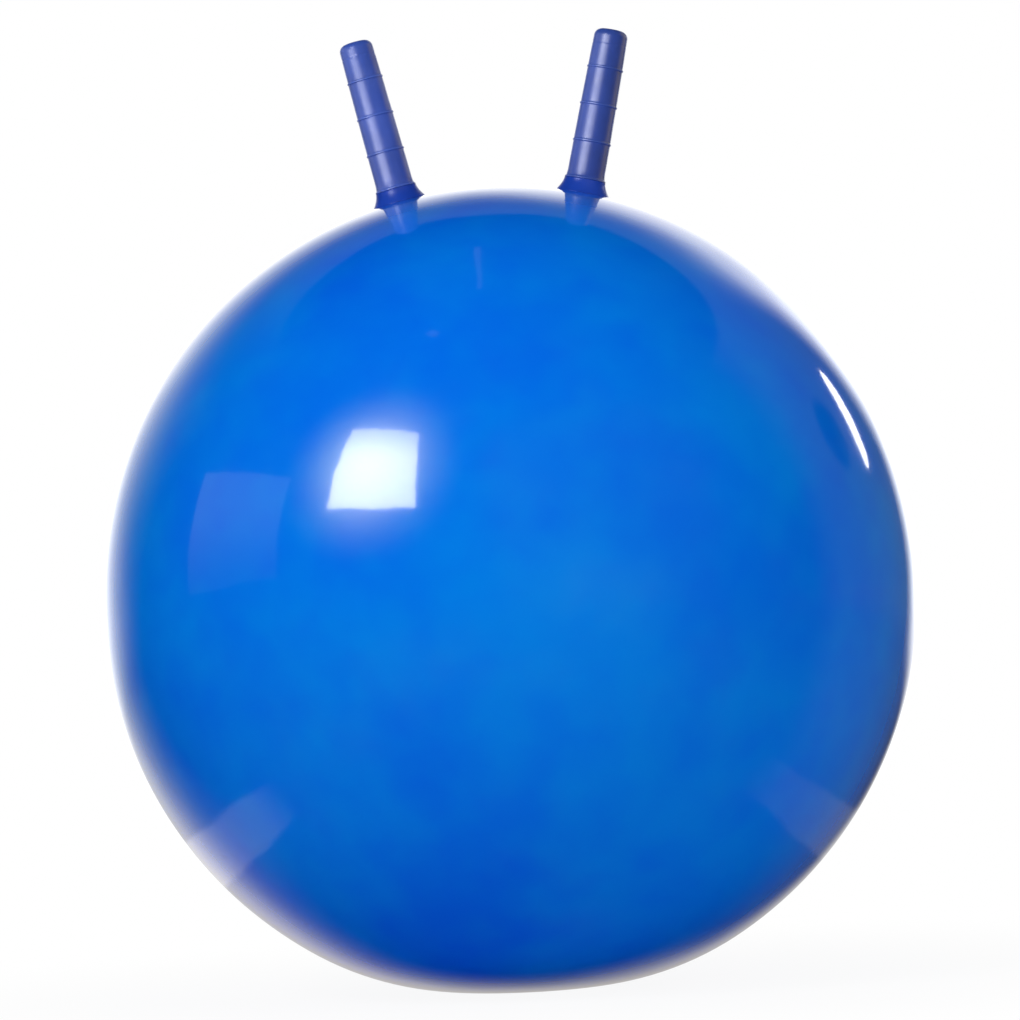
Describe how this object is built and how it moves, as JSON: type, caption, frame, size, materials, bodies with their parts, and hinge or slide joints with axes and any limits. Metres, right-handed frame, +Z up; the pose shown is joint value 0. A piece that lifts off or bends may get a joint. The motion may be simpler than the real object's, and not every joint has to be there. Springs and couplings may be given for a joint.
{
  "type": "hopper ball",
  "caption": "Inflated ride-on bouncing ball with ribbed stick handles that flex at their flared roots, a flat contact patch and a push-in air valve at the back.",
  "frame": {"origin": "on the ground, in the middle of the flat contact patch under the ball's centre", "axes": "+Z up; X runs through both handles with the left one at -X; -Y is the front that the picture shows; the valve faces +Y"},
  "size_m": [0.4999, 0.4999, 0.5854],
  "materials": {
    "skin": "gloss",
    "handle": "satin",
    "valve": "satin",
    "plug": "satin"
  },
  "bodies": {
    "ball": {"ball_shell": "skin", "left_handle_root": "handle", "right_handle_root": "handle", "valve_seat": "valve"},
    "left_grip": {"left_handle_grip": "handle"},
    "right_grip": {"right_handle_grip": "handle"},
    "plug": {"valve_plug": "plug"}
  },
  "joints": [
    {"name": "left_handle_flex", "type": "hinge", "parent": "ball", "child": "left_grip", "pos_m": [-0.05624, 0, 0.48459], "axis": [0.9744, 0, 0.225], "range_deg": [-20, 20], "stiffness_Nm_per_rad": 1.7, "deforming": ["left_handle_root"]},
    {"name": "right_handle_flex", "type": "hinge", "parent": "ball", "child": "right_grip", "pos_m": [0.05624, 0, 0.48459], "axis": [0.9744, 0, -0.225], "range_deg": [-20, 20], "stiffness_Nm_per_rad": 1.7, "deforming": ["right_handle_root"]},
    {"name": "plug_pull", "type": "slide", "parent": "ball", "child": "plug", "axis": [0, 1, 0], "range_m": [0, 0.03]}
  ]
}
